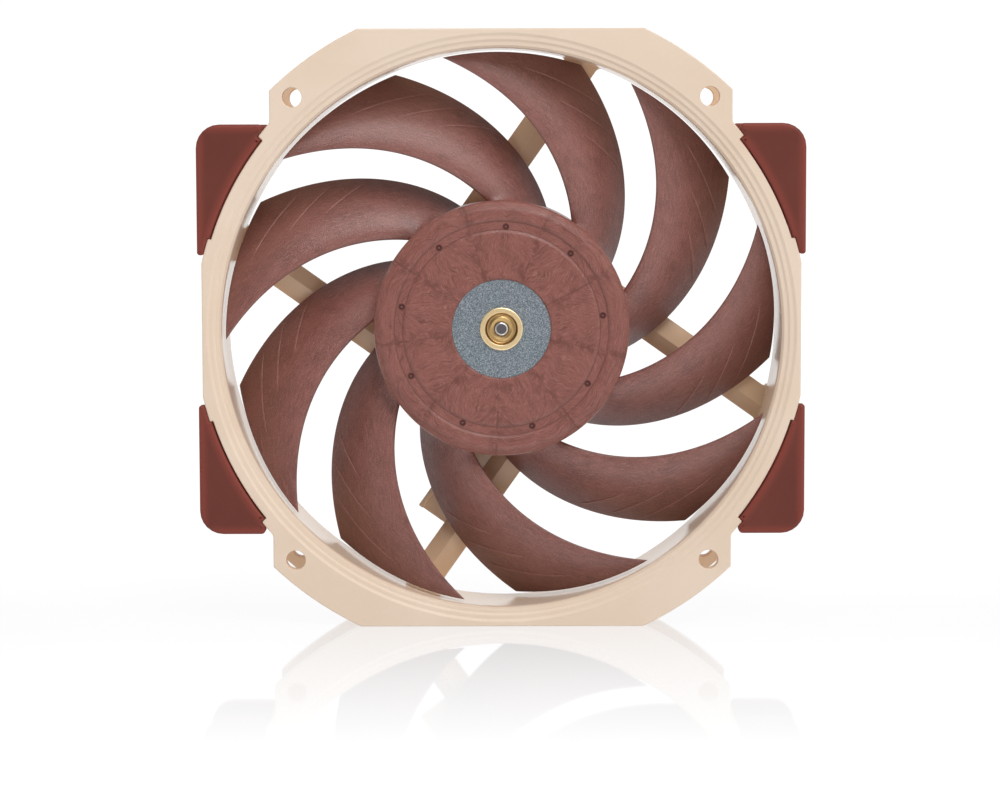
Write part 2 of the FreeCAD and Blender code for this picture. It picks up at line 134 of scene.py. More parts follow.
# Pads
pad_fit = 0.05
pad_hollow_gap = 0.35
pad_inner_end = 55.6
tongue_angles = (20.2, 35.8)
tongue_radii = (recess_radius - 1.0, recess_radius + 0.9)
tongue_half_thickness = 0.8

# Impeller
blade_count = 9
blade_tip_radius = 64.8
blade_root_radius = 28.9
hub_radius = 30.1
hub_front = impeller_low.y
hub_back = 7.0
hub_wall = 2.7
hub_skin = 1.8
hub_window = 11.62
hub_shoulder = 28.2
band_radii = (22.9, 25.5)
band_depth = 0.42
gate_circle = 24.0
gate_radius = 0.70
gate_depth = 0.2
gate_first_angle = 7.4

# Blade sections: radius, leading angle, trailing angle, leading depth, trailing depth
blade_sections = np.array([
    (28.9, 54.8, 27.4, -2.4, 6.3),
    (36.0, 65.2, 37.4, -3.8, 6.9),
    (44.0, 75.7, 48.0, -5.0, 6.8),
    (52.0, 85.9, 57.9, -6.3, 6.8),
    (58.0, 93.5, 65.1, -7.2, 7.0),
    (64.8, 102.1, 72.9, -8.3, 7.2),
])
blade_camber = 1.7
blade_edge_thickness = 0.5
blade_root_thickness = 2.6
blade_tip_thickness = 1.7
# Ridges on a blade's front skin: start radius, end radius, end's share of the chord from the back
blade_ridges = [(46.7, 49.7, 0.46), (52.2, 55.3, 0.53), (57.2, 61.5, 0.59)]
ridge_start_share = 0.05
ridge_half_width = 0.14
ridge_height = 0.15
# A ridge's section, in half widths and heights
ridge_section = ((-1, -0.6), (-0.85, 0.85), (-0.5, 1), (1.0, 0.45), (2.2, -0.6))

# Rotor centre
cup_wall = 1.1
cup_bore = 4.2
cup_disc_radius = 11.6
cup_disc_height = 1.5
bush_bore = 1.52
bush_mouth = 1.75
bush_neck = 4.15
shaft_end_radius = 1.16
clip_groove_radius = 1.1
clip_groove = (8.35, 9.05)


# ---------- shader maths

class Value:
    """A socket's value, on which arithmetic adds Math nodes."""

    def __init__(self, owner, socket):
        self.owner = owner
        self.socket = socket

    def math(self, operation, other=0.0, swapped=False):
        pair = (other, self) if swapped else (self, other)
        return self.owner.node("ShaderNodeMath", {"operation": operation}, {0: pair[0], 1: pair[1]})

    def least(self, other):
        return self.math("MINIMUM", other)

    def most(self, other):
        return self.math("MAXIMUM", other)

    def __abs__(self):
        return self.math("ABSOLUTE")

    def __add__(self, other):
        return self.math("ADD", other)

    def __sub__(self, other):
        return self.math("SUBTRACT", other)

    def __rsub__(self, other):
        return self.math("SUBTRACT", other, swapped=True)

    def __mul__(self, other):
        return self.math("MULTIPLY", other)

    def __truediv__(self, other):
        return self.math("DIVIDE", other)

    def __pow__(self, other):
        return self.math("POWER", other)

    __radd__ = __add__
    __rmul__ = __mul__


class Tree:
    """A node tree, for a finish, the room or a shape."""

    def __init__(self, tree):
        self.tree = tree

    def node(self, kind, settings=None, values=None, out=0):
        """Adds one node: its settings first, then its sockets' values or links."""
        node = self.tree.nodes.new(kind)
        for key, value in (settings or {}).items():
            setattr(node, key, value)
        for key, value in (values or {}).items():
            if isinstance(value, Value):
                self.link(value, node.inputs[key])
            else:
                node.inputs[key].default_value = value
        return Value(self, node.outputs[out]) if node.outputs else None

    def link(self, value, socket):
        self.tree.links.new(value.socket, socket)

    def split(self, vector, axis):
        return self.node("ShaderNodeSeparateXYZ", values={0: vector}, out=axis)

    def join(self, x, y, z):
        return self.node("ShaderNodeCombineXYZ", values={0: x, 1: y, 2: z})


class Finish(Tree):
    """A material under construction."""

    def __init__(self, name, **constants):
        self.material = bpy.data.materials.new(name)
        self.material.use_nodes = True
        super().__init__(self.material.node_tree)
        self.shader = self.tree.nodes["Principled BSDF"]
        for socket, value in constants.items():
            self.shader.inputs[socket.replace("_", " ")].default_value = value
        place = self.node("ShaderNodeTexCoord", out="Object")
        self.place = self.node("ShaderNodeVectorMath", {"operation": "SCALE"},
                               {0: place, "Scale": 1 / MM})
        self.x, self.y, self.z = (self.split(self.place, axis) for axis in "XYZ")

    def noise(self, scale, detail=3.0, roughness=0.5, distortion=0.0, place=None):
        return self.node("ShaderNodeTexNoise", values={
            "Vector": place or self.place, "Scale": scale, "Detail": detail, "Roughness": roughness,
            "Distortion": distortion})

    def cells(self, scale):
        return self.node("ShaderNodeTexVoronoi", values={"Vector": self.place, "Scale": scale},
                         out="Color")

    def ramp(self, value, low, high, start=0.0, end=1.0):
        """A smooth rise from start to end as value goes from low to high."""
        return self.node("ShaderNodeMapRange", {"interpolation_type": "SMOOTHSTEP"}, {
            "Value": value, "From Min": low, "From Max": high, "To Min": start, "To Max": end})

    def mix(self, share, first, second):
        """A colour between two colours."""
        return self.node("ShaderNodeMix", {"data_type": "RGBA"}, {
            0: share, 6: self.colour(first), 7: self.colour(second)}, out=2)

    @staticmethod
    def colour(value):
        return value if isinstance(value, Value) else (*value, 1.0)

    def done(self, colour, height, depth, rough=None):
        """Gives the material its colour, its relief (depth in millimetres) and its roughness."""
        bump = self.node("ShaderNodeBump", values={"Height": height, "Distance": depth * MM})
        for name, value in (("Base Color", colour), ("Normal", bump), ("Roughness", rough)):
            if value:
                self.link(value, self.shader.inputs[name])
        return self.material

    def radius(self):
        return (self.x * self.x + self.z * self.z) ** 0.5

    def angle(self):
        return self.z.math("ARCTAN2", self.x)


# ---------- finishes

FIBRE_DARK = (0.138, 0.044, 0.032)
FIBRE_MID = (0.256, 0.089, 0.071)
FIBRE_LIGHT = (0.400, 0.174, 0.143)


def fibre_colour(finish, fibres, mottle, shade):
    """The brown of the fibre-filled plastic: dark to light with the fibres and the mottling, then
    darkened by shade: weld lines and painted shade on the hub, painted shade on the blades.
    """
    base = finish.mix(finish.ramp(mottle, 0.33, 0.57), FIBRE_DARK, FIBRE_MID)
    streaks = finish.mix(finish.ramp(fibres, 0.48, 0.68, 0.0, 0.65), base, FIBRE_LIGHT)
    return finish.mix(shade, streaks, FIBRE_DARK)


def make_hub_finish():
    """Fibres that fan out from nine gates and meet in dark weld lines, with painted shade along the
    feet of the sunk band's walls.
    """
    f = Finish("hub_plastic", Specular_IOR_Level=0.45)
    radius = f.radius()
    step = 2 * math.pi / blade_count
    turn = (f.angle() - math.radians(gate_first_angle)) / step + 0.5
    sector = turn.math("FLOOR")
    local = (turn - sector - 0.5) * step
    across = radius * local.math("SINE")
    inward = gate_circle - radius * local.math("COSINE")
    reach = (across * across + inward * inward) ** 0.5
    wander = f.noise(0.25, 2.0) - 0.5
    heading = across.math("ARCTAN2", inward) + wander * 0.6
    flow = f.join(heading * (reach + 5.0), reach * 0.11, sector * 9.1)
    fibres = f.noise(1.3, 2.0, 0.55, place=flow)
    hairs = f.noise(6.0, 2.0, 0.6, place=flow)
    cloud = f.noise(0.30, 4.0, 0.6)
    speckle = f.noise(3.6, 2.0, 0.6)
    mottle = fibres * 0.40 + cloud * 0.25 + speckle * 0.35
    seam = (0.5 * step - abs(local)) * radius + wander * 1.3
    line = f.ramp(abs(seam), 0.06, 0.28, 0.8, 0.0) * f.ramp(cloud, 0.40, 0.56, 0.2, 1.0)
    haze = f.ramp(seam, 0.0, 2.8, 0.65, 0.0) * f.ramp(f.noise(0.55, 3.0), 0.44, 0.60)
    # Painted shade: each gate's dimple floor round the stub is painted as a dark ring, on top of the
    # mark's own darker red.
    mark = f.ramp(abs(reach - gate_radius + 0.2), 0.24, 0.38, 0.85, 0.0)
    # Painted shade: a thin darker line along the foot of each wall of the sunk band.
    inner_wall = abs(radius - (band_radii[0] + 0.36))
    outer_wall = abs(radius - (band_radii[1] - 0.28))
    walls = inner_wall.least(outer_wall)
    painted_crease_shade = f.ramp(walls, 0.06, 0.24, 0.6, 0.0)
    shade = line.most(haze).most(painted_crease_shade)
    colour = f.mix(mark, fibre_colour(f, hairs, mottle, shade), (0.085, 0.020, 0.016))
    rough = f.ramp(speckle, 0.3, 0.7, 0.38, 0.25) + mark * 0.35
    return f.done(colour, hairs * 0.6 + speckle * 0.8 - line * 0.5, 0.07, rough)


def make_blade_finish(name, lift=0.0):
    """Fibres that run outwards along each swept blade, with painted shade towards its tip and trailing
    edge.
    """
    f = Finish(name, Specular_IOR_Level=0.8)
    radius = f.radius()
    span = (radius - blade_root_radius) / (blade_tip_radius - blade_root_radius)
    root_lead, tip_lead = (math.radians(blade_sections[row][1]) for row in (0, -1))
    lead = root_lead + span * (tip_lead - root_lead)
    wander = f.noise(0.10, 3.0) - 0.5
    curl = f.noise(0.7, 2.0) - 0.5
    behind = lead - f.angle() + 2 * math.pi
    share = behind.math("MODULO", 2 * math.pi / blade_count) / math.radians(29)
    flow = f.join((behind + wander * 0.16) * 48.0 + curl * 0.5, radius * 0.15, 0.0)
    fibres = f.noise(3.2, 2.0, 0.55, 0.3, place=flow)
    cloud = f.noise(0.16, 5.0, 0.6)
    speckle = f.noise(3.4, 3.0, 0.6)
    # A lift paints the whole finish lighter: the ridges' painted highlight.
    mottle = fibres * 0.35 + cloud * 0.30 + speckle * 0.35 + lift
    # Painted shade: darker towards the trailing edge and the tip; the ridges' lift weakens it.
    edge = f.ramp(share, 0.35, 1.0, 0.0, 0.38) + f.ramp(span, 0.45, 1.0, 0.0, 0.30)
    colour = fibre_colour(f, fibres * 0.45 + speckle * 0.52 + lift, mottle, edge * (1 - 2 * lift))
    rough = f.ramp(speckle, 0.3, 0.7, 0.45, 0.31)
    return f.done(colour, fibres * 0.5 + speckle * 1.3, 0.08, rough)


def make_frame_finish():
    """Matt beige moulding with faint flow clouds and painted shade that turns it warmer and darker
    towards the back; the duct's wall is polished.
    """
    f = Finish("frame_plastic", Specular_IOR_Level=0.45)
    cloud = f.noise(0.03, 3.0, 0.5, 0.5)
    fine = f.noise(1.4, 4.0, 0.6)
    base = f.mix(f.ramp(cloud, 0.35, 0.65), (0.765, 0.605, 0.470), (0.795, 0.645, 0.515))
    # Painted shade: the beige turns warmer and darker towards the back, over the inside of the frame.
    shade = f.mix(f.ramp(f.y, -8.0, 8.0, 0.0, 0.9), base, (0.78, 0.55, 0.36))
    colour = f.mix(f.ramp(fine, 0.50, 0.80, 0.0, 0.2), shade, (0.83, 0.70, 0.57))
    wall = f.ramp(f.radius(), duct_radius + 0.5, duct_radius + 1.0, 0.0, 1.0)
    rough = f.ramp(fine, 0.3, 0.7, 0.20, 0.14) + wall * 0.33
    return f.done(colour, f.noise(6.0, 3.0, 0.6), 0.006, rough)


def make_pad_finish():
    """Soft dark red silicone with a painted highlight, redder and lighter, towards its edges."""
    f = Finish("pad_rubber", Specular_IOR_Level=0.25)
    cloud = f.noise(0.10, 4.0, 0.6)
    dust = f.noise(3.0, 4.0, 0.65)
    # Painted highlight: the colour turns redder and lighter within a few millimetres of the pad's
    # edges.
    sides = (pad_high.x - abs(f.x)).least(pad_high.z - abs(f.z))
    depth = (f.radius() - recess_radius - 0.3).least(sides) + (cloud - 0.5) * 0.8
    base = f.mix(f.ramp(cloud, 0.3, 0.7), (0.132, 0.031, 0.021), (0.146, 0.036, 0.024))
    dusty = f.mix(f.ramp(dust, 0.55, 0.85, 0.0, 0.25), base, (0.20, 0.07, 0.055))
    colour = f.mix(f.ramp(depth, 0.3, 2.6, 0.85, 0.0), dusty, (0.235, 0.048, 0.034))
    return f.done(colour, dust, 0.012, f.ramp(dust, 0.3, 0.7, 0.62, 0.48))


def make_zinc_finish():
    """Sheet steel with a sparkling crystalline zinc coat."""
    f = Finish("zinc_steel", Metallic=0.5)
    tint = f.noise(0.16, 3.0, 0.6)
    grain = f.split(f.cells(6.5), "X")
    fine = f.noise(5.5, 2.0, 0.7)
    spark = grain * 0.55 + fine * 0.65
    cool = f.mix(f.ramp(tint, 0.38, 0.62), (0.124, 0.168, 0.192), (0.146, 0.170, 0.200))
    colour = f.mix(f.ramp(spark, 0.45, 1.0), cool, (0.48, 0.52, 0.56))
    return f.done(colour, spark, 0.035, f.ramp(spark, 0.3, 1.0, 0.50, 0.28))


def make_brass_finish():
    """Turned brass, darker in the dish inside the polished rim, with painted shade on the dish's steep
    wall, strongest at the left and right.
    """
    f = Finish("brass", Metallic=1.0)
    rings = f.noise(1.0, 3.0, 0.7, place=f.join(f.radius() / 0.22, 0.0, 0.0))
    stain = f.noise(1.2, 4.0, 0.6)
    base = f.mix(f.ramp(stain * 0.5 + rings * 0.5, 0.3, 0.7), (0.88, 0.64, 0.32), (1.0, 0.80, 0.50))
    # The dish inside the rim is darker.
    dish = f.ramp(f.radius() + stain * 0.3, 3.75, 4.05, 0.75, 0.0)
    # Painted shade: a dark ring on the dish's steep wall, strongest at the left and right.
    wall = f.ramp(abs(f.radius() - 3.62), 0.10, 0.38, 1.0, 0.0)
    wall = wall * f.ramp(abs(f.z), 1.2, 3.4, 0.95, 0.45)
    dull = f.mix(dish, base, (0.55, 0.34, 0.12))
    colour = f.mix(wall, dull, (0.16, 0.075, 0.025))
    return f.done(colour, rings, 0.012, f.ramp(stain, 0.3, 0.7, 0.46, 0.36))


def make_shaft_finish():
    """Ground steel: a dull grey sawn end inside a bright edge."""
    f = Finish("shaft_steel", Metallic=1.0)
    stain = f.noise(3.0, 4.0, 0.6)
    bright = f.mix(f.ramp(stain, 0.3, 0.7), (0.50, 0.48, 0.47), (0.66, 0.64, 0.63))
    sawn = f.ramp(f.radius(), 1.12, 1.20, 1.0, 0.0) * f.ramp(f.y, -8.5, -8.0, 1.0, 0.0)
    colour = f.mix(sawn, bright, (0.17, 0.155, 0.165))
    return f.done(colour, stain, 0.01, f.ramp(stain, 0.3, 0.7, 0.40, 0.28))


def make_grained_finish(name, low, high, roughness, metallic=0.0, scale=1.5, depth=0.01):
    """A simple two-tone finish with a fine grain, for the pieces inside."""
    f = Finish(name, Metallic=metallic, Roughness=roughness)
    cloud = f.noise(scale * 0.2, 3.0)
    grain = f.noise(scale, 4.0, 0.65)
    colour = f.mix(f.ramp(cloud * 0.5 + grain * 0.5, 0.35, 0.65), low, high)
    rough = f.ramp(grain, 0.3, 0.7, roughness + 0.08, roughness - 0.08)
    return f.done(colour, grain, depth, rough)


def make_wound_finish():
    """Enamelled wire: close turns across each coil."""
    f = Finish("copper_wire", Metallic=0.9, Roughness=0.3)
    turns = (f.radius() * (2 * math.pi / 0.32)).math("SINE") * 0.5 + 0.5
    tone = f.noise(2.0, 3.0)
    base = f.mix(f.ramp(tone, 0.3, 0.7), (0.50, 0.20, 0.08), (0.68, 0.32, 0.14))
    colour = f.mix(turns, (0.20, 0.07, 0.03), base)
    return f.done(colour, turns, 0.08)


def make_laminated_finish():
    """The cut edges of stacked steel sheets."""
    f = Finish("core_steel", Metallic=0.8, Roughness=0.45)
    sheets = (f.y * (2 * math.pi / 0.5)).math("SINE") * 0.5 + 0.5
    tone = f.noise(1.5, 4.0)
    base = f.mix(f.ramp(tone, 0.3, 0.7), (0.26, 0.26, 0.28), (0.36, 0.36, 0.37))
    colour = f.mix(f.ramp(sheets, 0.0, 0.3), (0.08, 0.08, 0.09), base)
    return f.done(colour, sheets, 0.05)


def make_badge_finish():
    """Plain spun foil: bright rings with a soft radial sheen."""
    f = Finish("foil", Metallic=1.0, Roughness=0.32)
    rings = f.noise(6.0, 4.0, 0.7, place=f.join(f.radius(), 0.0, 0.0))
    stain = f.noise(0.3, 4.0)
    colour = f.mix(f.ramp(rings, 0.3, 0.7), (0.50, 0.47, 0.44), (0.66, 0.63, 0.59))
    return f.done(colour, rings, 0.01, f.ramp(stain, 0.3, 0.7, 0.40, 0.27))


# The plain inner pieces: darker tone, lighter tone, roughness, and what differs from the usual grain
grained_finishes = {
    "sintered_bronze": ((0.30, 0.19, 0.10), (0.46, 0.31, 0.17), 0.5,
                        {"metallic": 0.8, "scale": 3.0, "depth": 0.03}),
    "magnet": ((0.030, 0.030, 0.033), (0.06, 0.06, 0.065), 0.6, {"scale": 2.5}),
    "white_nylon": ((0.66, 0.65, 0.60), (0.76, 0.75, 0.71), 0.45, {}),
    "insulator_plastic": ((0.06, 0.06, 0.066), (0.11, 0.11, 0.12), 0.5, {}),
    "tinned_pin": ((0.5, 0.5, 0.48), (0.66, 0.66, 0.64), 0.3, {"metallic": 1.0}),
    "board": ((0.018, 0.11, 0.05), (0.03, 0.17, 0.075), 0.35, {"scale": 1.0}),
    "black_chip": ((0.022, 0.022, 0.023), (0.045, 0.045, 0.046), 0.5, {}),
    "ceramic": ((0.38, 0.28, 0.17), (0.50, 0.38, 0.25), 0.45, {"scale": 2.0}),
}

finishes = {
    "frame_plastic": make_frame_finish(),
    "pad_rubber": make_pad_finish(),
    "hub_plastic": make_hub_finish(),
    "blade_plastic": make_blade_finish("blade_plastic"),
    # The ridges' finish is the blade finish with a painted highlight: lighter all over.
    "ridge_plastic_painted_highlight": make_blade_finish("ridge_plastic_painted_highlight", lift=0.11),
    "zinc_steel": make_zinc_finish(),
    "brass": make_brass_finish(),
    "shaft_steel": make_shaft_finish(),
    "core_steel": make_laminated_finish(),
    "copper_wire": make_wound_finish(),
    "foil": make_badge_finish(),
}
for name, (low, high, roughness, grain) in grained_finishes.items():
    finishes[name] = make_grained_finish(name, low, high, roughness, **grain)


# ---------- shapes

def polar(radius, angle, depth=0.0):
    turn = math.radians(angle)
    return Vector((radius * math.cos(turn), depth, radius * math.sin(turn)))


def corner(radius, angle, rounding=0):
    """An outline's corner (x, z, rounding) on a circle about the spin axis."""
    turn = math.radians(angle)
    return radius * math.cos(turn), radius * math.sin(turn), rounding


def arc(radius, start, end, steps):
    """Unrounded corners along a circle about the spin axis."""
    return [corner(radius, angle) for angle in np.linspace(start, end, steps)]


def rounded(corners, arc_steps=5, support=0.05):
    """A closed outline whose (a, b, radius) corners become arcs; extra points hold the flats flat."""
    points = []
    for index, (a, b, radius) in enumerate(corners):
        here = Vector((a, b))
        before = Vector(corners[index - 1][:2]) - here
        after = Vector(corners[(index + 1) % len(corners)][:2]) - here
        if radius <= 0:
            points.append(here)
            continue
        half = before.angle(after) / 2
        reach = radius / math.tan(half)
        one, other = before.normalized(), after.normalized()
        centre = here + (one + other).normalized() * (radius / math.sin(half))
        start, end = here + one * reach - centre, here + other * reach - centre
        if before.length > reach + 2 * support:
            points.append(here + one * (reach + support))
        sweep = start.angle_signed(end)
        for step in range(arc_steps + 1):
            points.append(centre + Matrix.Rotation(-sweep * step / arc_steps, 2) @ start)
        if after.length > reach + 2 * support:
            points.append(here + other * (reach + support))
    return points


def store(name, points, faces, flat_faces=(), sharp=34.0):
    """A mesh in metres from points in millimetres, with sharp edges where faces turn."""
    mesh = bpy.data.meshes.new(name)
    mesh.from_pydata([Vector(p) * MM for p in points], [], list(faces) + list(flat_faces))
    work = bmesh.new()
    work.from_mesh(mesh)
    bmesh.ops.remove_doubles(work, verts=work.verts, dist=0.002 * MM)
    bmesh.ops.recalc_face_normals(work, faces=work.faces)
    work.to_mesh(mesh)
    work.free()
    mesh.shade_smooth()
    mesh.set_sharp_from_angle(angle=math.radians(sharp))
    return mesh


def show(name, mesh, material=None):
    """Puts a mesh in the scene as an object at the origin."""
    piece = bpy.data.objects.new(name, mesh)
    bpy.context.scene.collection.objects.link(piece)
    if material:
        mesh.materials.clear()
        mesh.materials.append(material)
    return piece


def finished(name, work):
    """A mesh from a bmesh that isn't needed any more."""
    mesh = bpy.data.meshes.new(name)
    work.to_mesh(mesh)
    work.free()
    return mesh


def join_meshes(name, meshes):
    """One mesh from several."""
    work = bmesh.new()
    for mesh in meshes:
        work.from_mesh(mesh)
    return finished(name, work)


def apply_modifiers(piece):
    """Turns a piece's modifiers into plain mesh and removes them."""
    graph = bpy.context.evaluated_depsgraph_get()
    mesh = bpy.data.meshes.new_from_object(piece.evaluated_get(graph), depsgraph=graph)
    piece.modifiers.clear()
    old, piece.data = piece.data, mesh
    bpy.data.meshes.remove(old)
    return piece


def take_mesh(piece):
    """The mesh of a piece that has served as a pattern and leaves the scene."""
    mesh = piece.data
    bpy.data.objects.remove(piece)
    return mesh


def cut(piece, tool):
    """Cuts a tool's shape out of a piece."""
    modifier = piece.modifiers.new("cut", "BOOLEAN")
    modifier.object = tool
    modifier.solver = "EXACT"
    apply_modifiers(piece)
    bpy.data.objects.remove(tool)


def between(low, high, size):
    """The faces between two rings of points, whose first points are low and high."""
    return [(low + i, low + (i + 1) % size, high + (i + 1) % size, high + i) for i in range(size)]


def tube(name, rings, sharp=34.0):
    """A closed skin through rings of points, with flat ends."""
    size = len(rings[0])
    points = [point for ring in rings for point in ring]
    faces = []
    for row in range(len(rings) - 1):
        faces += between(row * size, (row + 1) * size, size)
    faces += [tuple(range(size)), tuple(range(len(points) - size, len(points)))]
    return store(name, points, faces, sharp=sharp)


def turned(name, corners, steps=288, closed=True, **rounding):
    """A shape turned about the spin axis from (radius, depth, rounding) corners."""
    points, rings = [], []
    for radius, depth in rounded(corners, **rounding):
        if radius < 0.001:
            rings.append([len(points)] * steps)
            points.append((0, depth, 0))
        else:
            rings.append(list(range(len(points), len(points) + steps)))
            points += [polar(radius, 360 * step / steps, depth) for step in range(steps)]
    faces = []
    count = len(rings) if closed else len(rings) - 1
    for index in range(count):
        one, other = rings[index], rings[(index + 1) % len(rings)]
        for step in range(steps):
            after = (step + 1) % steps
            corners = [one[step], one[after], other[after], other[step]]
            faces.append(tuple(dict.fromkeys(corners)))
    return store(name, points, [face for face in faces if len(face) > 2])


def inset(loop, distance):
    """A closed (x, z) loop moved towards its left side by a distance."""
    moved = []
    for index, here in enumerate(loop):
        before = (here - loop[index - 1]).normalized()
        after = (loop[(index + 1) % len(loop)] - here).normalized()
        middle = (before + after).normalized()
        stretch = max(0.3, middle.dot(after))
        moved.append(here + Vector((-middle.y, middle.x)) * (distance / stretch))
    return moved


def plate(name, loops, edges, front, back, steps=4):
    """A flat plate, its edges rounded by a radius for each loop.

    The first loop is its outline, anticlockwise; the rest are holes, clockwise.
    """
    loops = [[Vector(point) for point in loop] for loop in loops]
    points, faces, caps, starts = [], [], [], []
    for loop, edge in zip(loops, edges):
        starts.append(len(points))
        size = len(loop)
        levels = []
        for step in range(steps + 1):
            turn = math.pi / 2 * step / steps
            levels.append((edge * (1 - math.sin(turn)), front + edge * (1 - math.cos(turn))))
        levels += [(shift, back + front - depth) for shift, depth in reversed(levels)]
        for level, (shift, depth) in enumerate(levels):
            points += [(p.x, depth, p.y) for p in inset(loop, shift)]
            if level:
                low = starts[-1] + (level - 1) * size
                faces += between(low, low + size, size)
    flat = [inset(loop, edge) for loop, edge in zip(loops, edges)]
    triangles = tessellate_polygon([[Vector((p.x, p.y, 0)) for p in loop] for loop in flat])
    place = [start + index for start, loop in zip(starts, loops) for index in range(len(loop))]
    last = {start + index: start + (len(levels) - 1) * len(loop) + index
            for start, loop in zip(starts, loops) for index in range(len(loop))}
    for triangle in triangles:
        corner = [place[index] for index in triangle]
        caps += [tuple(corner), tuple(last[index] for index in corner)]
    mesh = store(name, points, faces, caps)
    for face in mesh.polygons:
        if abs(face.normal.y) > 0.9999:
            face.use_smooth = False
    return mesh


def mirrored(mesh, x=1, y=1, z=1):
    """A reflected copy of a mesh with its faces pointing outwards."""
    copy = mesh.copy()
    copy.transform(Matrix.Diagonal((x, y, z, 1)))
    if x * y * z < 0:
        copy.flip_normals()
    return copy


def round_array():
    """A node tree that repeats its mesh round the spin axis and gives it a material."""
    tree = bpy.data.node_groups.new("round_array", "GeometryNodeTree")
    sockets = {"Geometry": "NodeSocketGeometry", "Count": "NodeSocketInt", "Step": "NodeSocketFloat",
               "Material": "NodeSocketMaterial"}
    named = {name: tree.interface.new_socket(name, in_out="INPUT", socket_type=kind).identifier
             for name, kind in sockets.items()}
    tree.interface.new_socket("Geometry", in_out="OUTPUT", socket_type="NodeSocketGeometry")

    array = Tree(tree)
    given = {name: array.node("NodeGroupInput", out=name) for name in sockets}
    pattern = array.node("GeometryNodeGeometryToInstance", values={"Geometry": given["Geometry"]})
    points = array.node("GeometryNodePoints", values={"Count": given["Count"]})
    turn = array.join(0.0, array.node("GeometryNodeInputIndex") * given["Step"], 0.0)
    copies = array.node("GeometryNodeInstanceOnPoints",
                        values={"Points": points, "Instance": pattern, "Rotation": turn})
    whole = array.node("GeometryNodeRealizeInstances", values={"Geometry": copies})
    painted = array.node("GeometryNodeSetMaterial",
                         values={"Geometry": whole, "Material": given["Material"]})
    array.node("NodeGroupOutput", values={"Geometry": painted})
    return tree, named


array_tree, array_inputs = round_array()


def repeated(name, mesh, count, material):
    """A piece made of a mesh repeated round the spin axis."""
    piece = show(name, mesh)
    modifier = piece.modifiers.new("round_array", "NODES")
    modifier.node_group = array_tree
    modifier[array_inputs["Count"]] = count
    modifier[array_inputs["Step"]] = -2 * math.pi / count
    modifier[array_inputs["Material"]] = material
    return apply_modifiers(piece)


def bevelled(name, mesh, width, material, steps=3):
    """A piece with its sharp edges rounded."""
    piece = show(name, mesh, material)
    modifier = piece.modifiers.new("edges", "BEVEL")
    modifier.width = width * MM
    modifier.segments = steps
    modifier.limit_method = "ANGLE"
    modifier.angle_limit = math.radians(25)
    apply_modifiers(piece)
    piece.data.shade_smooth()
    piece.data.set_sharp_from_angle(angle=math.radians(40))
    return piece


def settle(piece, body, node):
    """Rides a finished piece on its body, in place of its design node."""
    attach(piece, body)
    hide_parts(node)


# ---------- frame

def flange_quarter():
    """One quarter of a flange's outline, from the flat side on +X to the flat top."""
    side_end = math.degrees(math.acos(half_width / flange_radius))
    ear_start = math.degrees(math.acos(ear_half_width / shoulder_radius))
    ear_low = math.degrees(math.acos(ear_half_width / ear_radius))
    ear_high = math.degrees(math.asin(half_width / ear_radius))
    small, soft = 0.2, 0.5
    low, high = recess_angles
    corners = [corner(flange_radius, side_end, soft)] + arc(flange_radius, side_end + 0.6, low - 0.4, 6)
    corners += [corner(flange_radius, low, small), corner(recess_radius, low, small)]
    corners += arc(recess_radius, low + 0.4, high - 0.4, 44)
    corners += [corner(recess_radius, high, small), corner(shoulder_radius, high, 0.4)]
    corners += arc(shoulder_radius, high + 0.6, ear_start - 1.0, 3)
    corners += [corner(shoulder_radius, ear_start, 1.6), corner(ear_radius, ear_low, soft)]
    corners += arc(ear_radius, ear_low + 0.7, ear_high - 0.7, 34)
    return corners + [corner(ear_radius, ear_high, soft)]


def flange_outline():
    """The whole outline, anticlockwise, from its quarter and the three reflections."""
    quarter = flange_quarter()
    flipped = quarter[::-1]
    corners = quarter + [(-x, z, r) for x, z, r in flipped]
    corners += [(-x, -z, r) for x, z, r in quarter]
    corners += [(x, -z, r) for x, z, r in flipped]
    return rounded(corners, arc_steps=4, support=0.02)


def round_hole(x, z, radius, steps):
    """A clockwise circle."""
    return [(x + radius * math.cos(t), z + radius * math.sin(t))
            for t in np.linspace(0, -2 * math.pi, steps, endpoint=False)]


def make_flanges():
    """The front and rear flanges with their ears, holes and pad recesses."""
    holes = [round_hole(side * hole_places[0], level * hole_places[1], hole_radius, 48)
             for side in (1, -1) for level in (1, -1)]
    loops = [flange_outline(), round_hole(0, 0, shell_join_radius, 360)] + holes
    edges = [flange_edge, 0.0] + [0.15] * len(holes)
    front = plate("flange", loops, edges, -half_depth, flange_thickness - half_depth)
    return [front, mirrored(front, y=-1)]


def make_duct():
    """The barrel with its stepped inlet, as one turned wall that fills both flanges' bores."""
    behind = half_depth - flange_thickness
    corners = [(shell_join_radius, -half_depth, 0.0)]
    corners += [(radius, depth - half_depth, rounding) for radius, depth, rounding in inlet_profile]
    corners += [
        (duct_radius, strut_front, 0.8), (outlet_radius, half_depth, 0.3),
        (shell_join_radius, half_depth, 0.0), (shell_join_radius, behind, 0.0),
        (barrel_radius + 0.4, behind, 0.0), (barrel_radius, behind - 0.4, 0.0),
        (barrel_radius, 0.4 - behind, 0.0), (barrel_radius + 0.4, -behind, 0.0),
        (shell_join_radius, -behind, 0.0),
    ]
    return turned("duct", corners, 360)


def strut_point(along, across, depth):
    """A place on the first strut: outward along it, to its left, and back."""
    heading = math.radians(strut_heading)
    side = strut_offset + across
    return Vector((math.cos(heading) * along - math.sin(heading) * side, depth,
                   math.sin(heading) * along + math.cos(heading) * side))


def strut_depth(across):
    """How far back the ridged front of a strut lies."""
    slope = strut_slopes[1] if across > strut_ridge else strut_slopes[0]
    return strut_front + slope * abs(across - strut_ridge)


